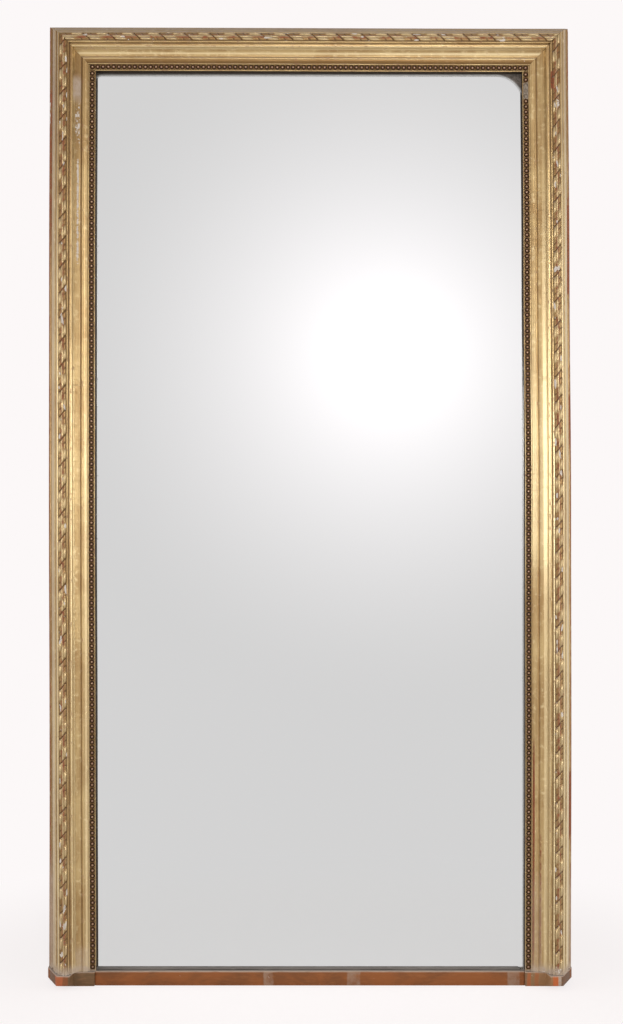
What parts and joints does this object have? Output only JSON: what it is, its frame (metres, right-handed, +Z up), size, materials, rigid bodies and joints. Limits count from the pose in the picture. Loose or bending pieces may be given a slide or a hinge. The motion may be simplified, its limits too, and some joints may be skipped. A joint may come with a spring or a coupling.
{
  "type": "pier mirror",
  "caption": "Tall pier mirror with a mitred gilt moulding, a ribbon crest and a bead row, a low painted base rail with plinth blocks, and a framed back-board.",
  "frame": {"origin": "on the floor, at the middle of the width and of the depth", "axes": "+X to the right of a viewer, +Z up, and the glass faces -Y"},
  "size_m": [0.988, 0.077, 1.8],
  "materials": {
    "gilt_moulding": "water gilding over red bole and gesso on pine, satin and worn, metallic look",
    "gilt_ornament": "gilded composition ornament, worn to bole and gesso, dusty hollows",
    "gilt_beads": "gilded composition beads with dark hollows",
    "rail_paint": "old terracotta paint, rubbed and chipped",
    "plinth_paint": "old brown-red paint, dusty, chipped to gesso",
    "fillet_paint": "dark grey paint, dusty",
    "silvered_glass": "silvered plate glass, a little aged at the corners",
    "pine_carcass": "aged bare pine",
    "pine_board": "aged bare pine",
    "pine_panel": "aged bare pine, wide boards",
    "beech": "bare beech",
    "wrought_iron": "dark wrought iron, a little rusted",
    "screw_steel": "old slotted iron screw"
  },
  "bodies": {
    "root": {"base_rail": "rail_paint", "beads_left": "gilt_beads", "beads_right": "gilt_beads", "beads_top": "gilt_beads", "bottom_fillet": "fillet_paint", "glass_packing_bottom_left": "beech", "glass_packing_bottom_right": "beech", "glass_packing_left_lower": "beech", "glass_packing_left_upper": "beech", "glass_packing_right_lower": "beech", "glass_packing_right_upper": "beech", "glass_packing_top_left": "beech", "glass_packing_top_right": "beech", "hanger_plate_left": "wrought_iron", "hanger_plate_right": "wrought_iron", "hanger_screw_left_1": "screw_steel", "hanger_screw_left_2": "screw_steel", "hanger_screw_left_3": "screw_steel", "hanger_screw_right_1": "screw_steel", "hanger_screw_right_2": "screw_steel", "hanger_screw_right_3": "screw_steel", "mirror_plate": "silvered_glass", "mitre_key_left": "beech", "mitre_key_right": "beech", "moulding_left": "gilt_moulding", "moulding_right": "gilt_moulding", "moulding_top": "gilt_moulding", "parquet_panel_1": "pine_panel", "parquet_panel_2": "pine_panel", "parquet_panel_3": "pine_panel", "parquet_rail_bottom": "pine_board", "parquet_rail_lower": "pine_board", "parquet_rail_top": "pine_board", "parquet_rail_upper": "pine_board", "parquet_screw_1": "screw_steel", "parquet_screw_2": "screw_steel", "parquet_screw_3": "screw_steel", "parquet_screw_4": "screw_steel", "parquet_screw_5": "screw_steel", "parquet_screw_6": "screw_steel", "parquet_screw_7": "screw_steel", "parquet_screw_8": "screw_steel", "parquet_stile_left": "pine_board", "parquet_stile_right": "pine_board", "plinth_block_left": "plinth_paint", "plinth_block_right": "plinth_paint", "ribbon_left": "gilt_ornament", "ribbon_right": "gilt_ornament", "ribbon_top": "gilt_ornament", "stile_left": "pine_carcass", "stile_right": "pine_carcass", "top_rail": "pine_carcass"}
  },
  "joints": []
}
